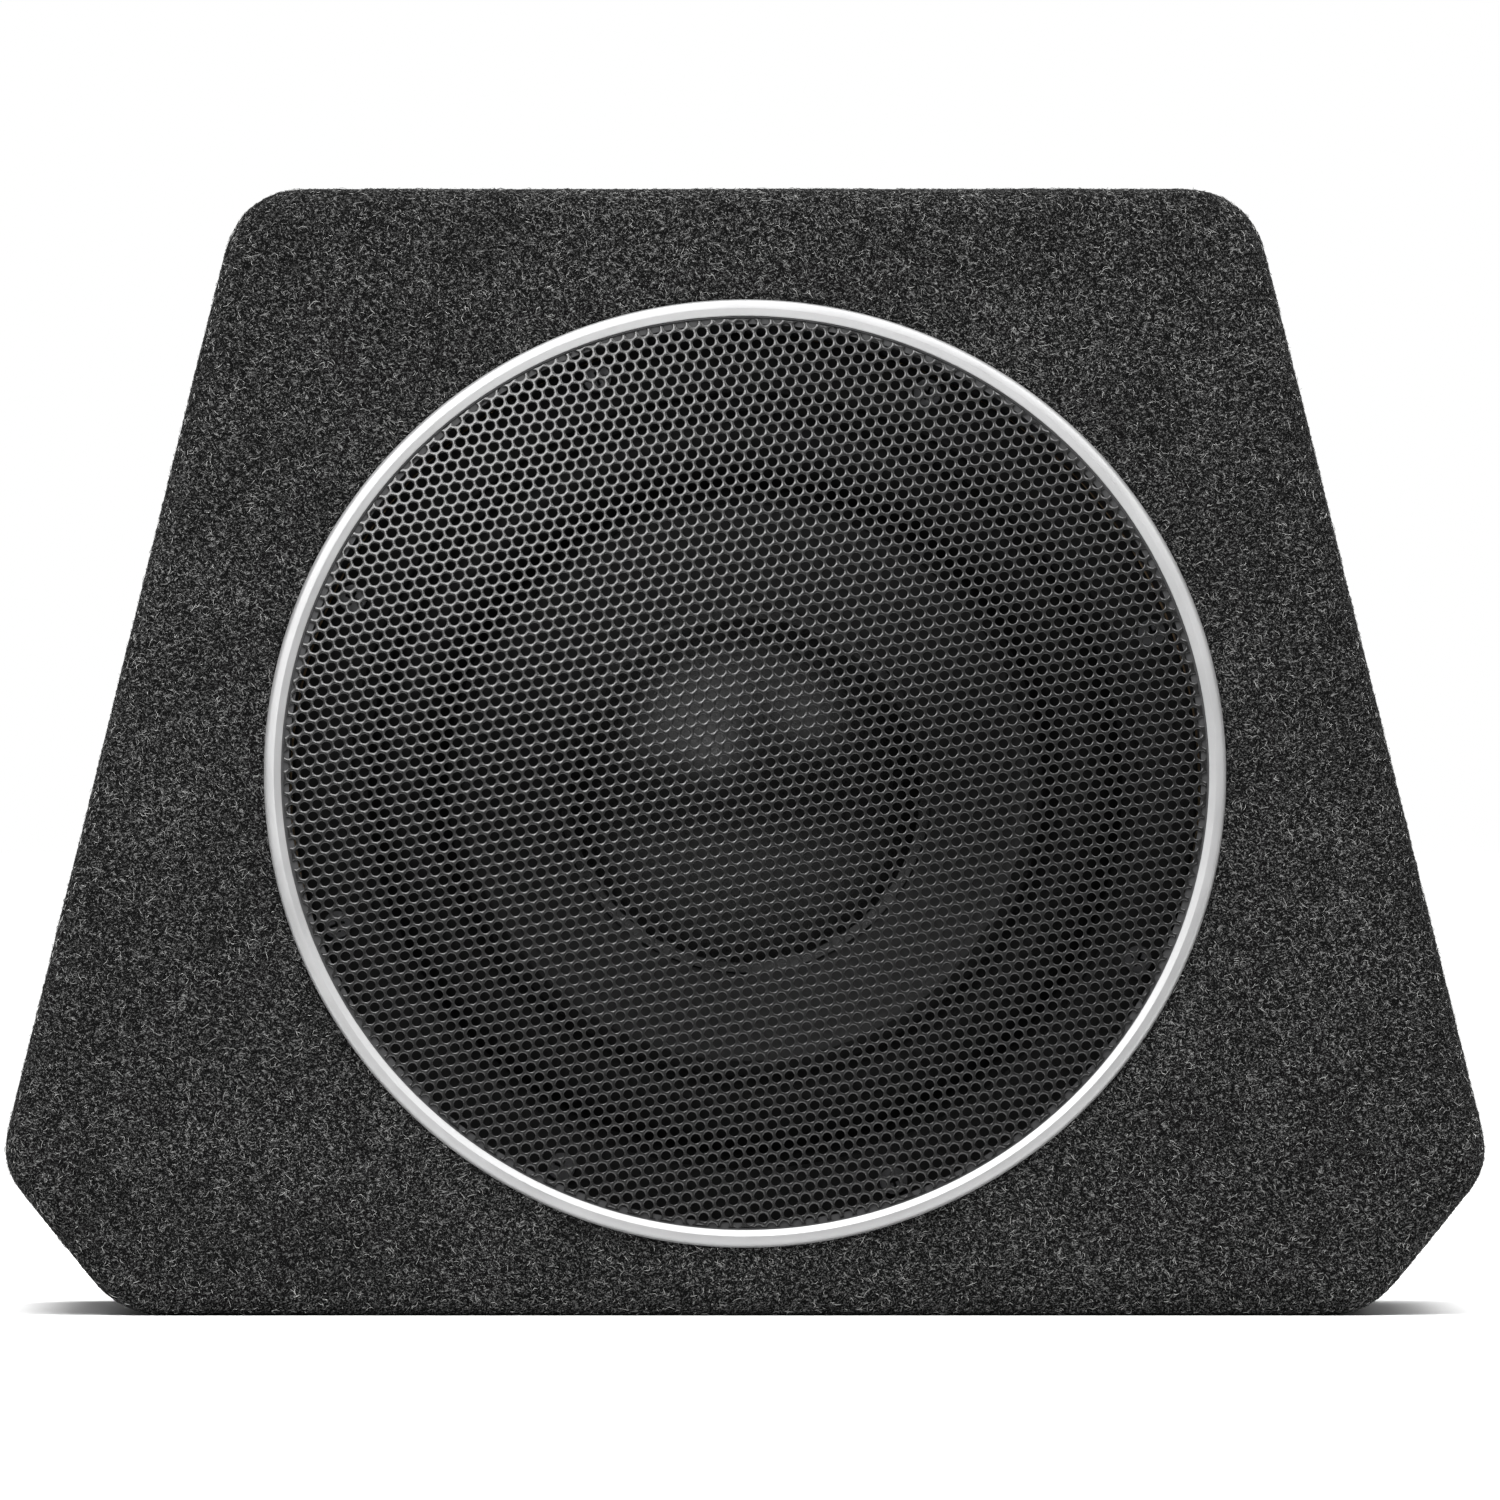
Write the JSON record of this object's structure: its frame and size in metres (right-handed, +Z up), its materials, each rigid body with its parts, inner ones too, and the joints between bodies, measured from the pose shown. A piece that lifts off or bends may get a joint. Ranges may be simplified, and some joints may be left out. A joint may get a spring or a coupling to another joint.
{
  "type": "powered car subwoofer",
  "caption": "Wedge-shaped carpeted cabinet with one woofer behind a domed round perforated grille in a silver ring, and an amplifier with its controls and sockets on the back.",
  "frame": {"origin": "on the floor under the middle of the base", "axes": "+X to the right seen from the front, +Y to the back of the cabinet, +Z up; the grille faces -Y and leans back by 10 degrees"},
  "size_m": [0.501, 0.2684, 0.382],
  "materials": {
    "wood_board": "raw fibreboard",
    "carpet": "needled felt carpet",
    "black_sheet": "satin black powder coat",
    "satin_trim": "satin silver",
    "black_plastic": "matt",
    "foam_rubber": "closed-cell foam",
    "roll_rubber": "matt",
    "cone_pulp": "pressed pulp",
    "former": "film",
    "copper": "enamelled wire",
    "spider_cloth": "impregnated cloth",
    "motor_steel": "zinc plated",
    "ferrite": "sintered",
    "fibre_board": "pressed fibre",
    "black_screw": "blackened steel",
    "red_insulation": "satin",
    "black_insulation": "satin",
    "black_anodised": "black anodised",
    "plated_steel": "zinc plated",
    "board_green": "solder mask",
    "capacitor_sleeve": "shrunk sleeve",
    "lamp_lens": "clear tinted",
    "fuse_body": "clear tinted",
    "jack_plating": "nickel plated",
    "white_plastic": "moulded",
    "gold_pins": "gold plated"
  },
  "bodies": {
    "cabinet": {"baffle_front": "wood_board", "baffle_inner": "wood_board", "top_panel": "wood_board", "left_panel": "wood_board", "right_panel": "wood_board", "left_corner_panel": "wood_board", "right_corner_panel": "wood_board", "bottom_panel": "wood_board", "back_panel": "wood_board", "carpet_front": "carpet", "carpet_wrap": "carpet", "carpet_bottom": "carpet", "carpet_back": "carpet", "grille_mesh": "black_sheet", "grille_ring": "satin_trim", "grille_carrier": "black_plastic", "basket": "black_sheet", "front_gasket": "foam_rubber", "surround": "roll_rubber", "spider": "spider_cloth", "top_plate": "motor_steel", "magnet": "ferrite", "yoke": "motor_steel", "terminal_board": "fibre_board", "tinsel_leads": "copper", "driver_screws": "black_screw", "lead_positive": "red_insulation", "lead_negative": "black_insulation", "amp_plate": "black_sheet", "heatsink": "black_anodised", "amp_tray": "plated_steel", "amp_gasket": "foam_rubber", "amp_screws": "black_screw", "circuit_board": "board_green", "transformer": "copper", "capacitors": "capacitor_sleeve", "power_transistors": "black_plastic", "level_pot": "plated_steel", "crossover_pot": "plated_steel", "boost_pot": "plated_steel", "phase_switch": "plated_steel", "auto_switch": "plated_steel", "status_lamp": "lamp_lens", "power_block": "black_plastic", "power_screws": "plated_steel", "fuses": "fuse_body", "rca_block": "black_plastic", "rca_barrels": "jack_plating", "input_socket": "white_plastic", "input_pins": "gold_pins", "remote_port": "black_plastic"},
    "moving_cone": {"cone": "cone_pulp", "dust_cap": "cone_pulp", "coil_former": "former", "voice_coil": "copper"},
    "level_dial": {"level_knob": "black_plastic"},
    "crossover_dial": {"crossover_knob": "black_plastic"},
    "boost_dial": {"boost_knob": "black_plastic"},
    "phase_slide": {"phase_slider": "black_plastic"},
    "auto_slide": {"auto_slider": "black_plastic"}
  },
  "joints": [
    {"name": "cone_travel", "type": "slide", "parent": "cabinet", "child": "moving_cone", "axis": [0, -0.9848, 0.1736], "range_m": [-0.009, 0.009], "stiffness_N_per_m": 4000, "deforming": ["surround", "spider", "tinsel_leads"]},
    {"name": "level_turn", "type": "hinge", "parent": "cabinet", "child": "level_dial", "pos_m": [0.028, 0.1365, 0.227], "axis": [0, -1, 0], "range_deg": [-150, 150]},
    {"name": "crossover_turn", "type": "hinge", "parent": "cabinet", "child": "crossover_dial", "pos_m": [0.062, 0.1365, 0.227], "axis": [0, -1, 0], "range_deg": [-150, 150]},
    {"name": "boost_turn", "type": "hinge", "parent": "cabinet", "child": "boost_dial", "pos_m": [0.096, 0.1365, 0.227], "axis": [0, -1, 0], "range_deg": [-150, 150]},
    {"name": "phase_travel", "type": "slide", "parent": "cabinet", "child": "phase_slide", "axis": [1, 0, 0], "range_m": [0, 0.004]},
    {"name": "auto_travel", "type": "slide", "parent": "cabinet", "child": "auto_slide", "axis": [1, 0, 0], "range_m": [0, 0.004]}
  ]
}
